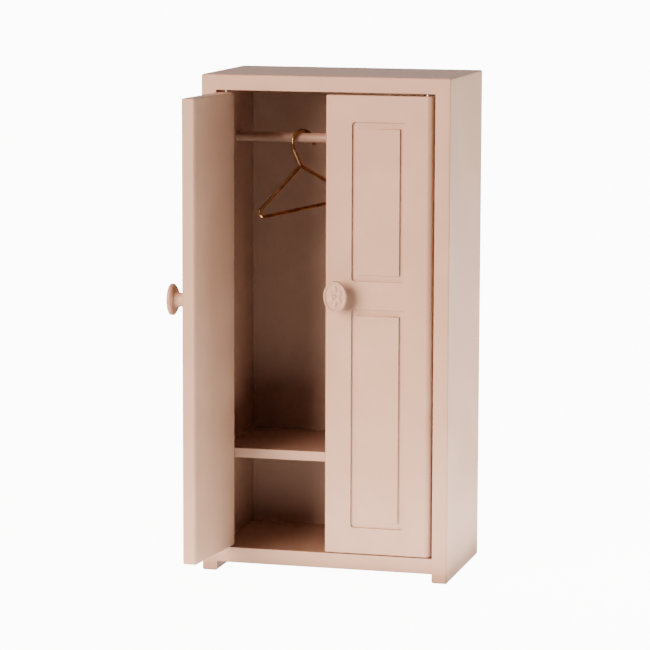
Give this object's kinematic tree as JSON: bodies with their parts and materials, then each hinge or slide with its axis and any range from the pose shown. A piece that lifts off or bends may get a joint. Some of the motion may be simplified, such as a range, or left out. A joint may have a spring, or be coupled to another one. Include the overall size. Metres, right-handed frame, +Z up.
{
  "type": "miniature wardrobe",
  "caption": "Doll's house wardrobe in painted board, with panelled doors on pivot pins, oval knobs, a shelf, a hanging rail and a wire coat hanger.",
  "frame": {"origin": "on the ground, in the middle of the cabinet's footprint (doors left out)", "axes": "+X to the right as seen from the front, +Y to the back, +Z up"},
  "size_m": [0.0967, 0.0896, 0.185],
  "materials": {
    "painted_wood": "eggshell powder-pink paint over smooth board",
    "hinge_steel": "bright drawn pin wire",
    "hanger_brass": "polished drawn brass wire"
  },
  "bodies": {
    "cabinet": {"left_side": "painted_wood", "right_side": "painted_wood", "top_panel": "painted_wood", "floor_panel": "painted_wood", "back_panel": "painted_wood", "shelf": "painted_wood", "hanging_rail": "painted_wood", "carcass_brads": "hinge_steel"},
    "left_leaf": {"left_door": "painted_wood", "left_knob": "painted_wood", "left_top_pin": "hinge_steel", "left_bottom_pin": "hinge_steel"},
    "right_leaf": {"right_door": "painted_wood", "right_knob": "painted_wood", "right_top_pin": "hinge_steel", "right_bottom_pin": "hinge_steel"},
    "hanger": {"coat_hanger": "hanger_brass"}
  },
  "joints": [
    {"name": "left_door_hinge", "type": "hinge", "parent": "cabinet", "child": "left_leaf", "pos_m": [-0.0377, -0.0252, 0.094], "axis": [0, 0, -1], "range_deg": [-95.1, 6.9]},
    {"name": "right_door_hinge", "type": "hinge", "parent": "cabinet", "child": "right_leaf", "pos_m": [0.0377, -0.0252, 0.094], "axis": [0, 0, 1], "range_deg": [0, 102]},
    {"name": "hanger_slide", "type": "slide", "parent": "cabinet", "child": "hanger", "axis": [1, 0, 0], "range_m": [-0.0125, 0.043]}
  ]
}
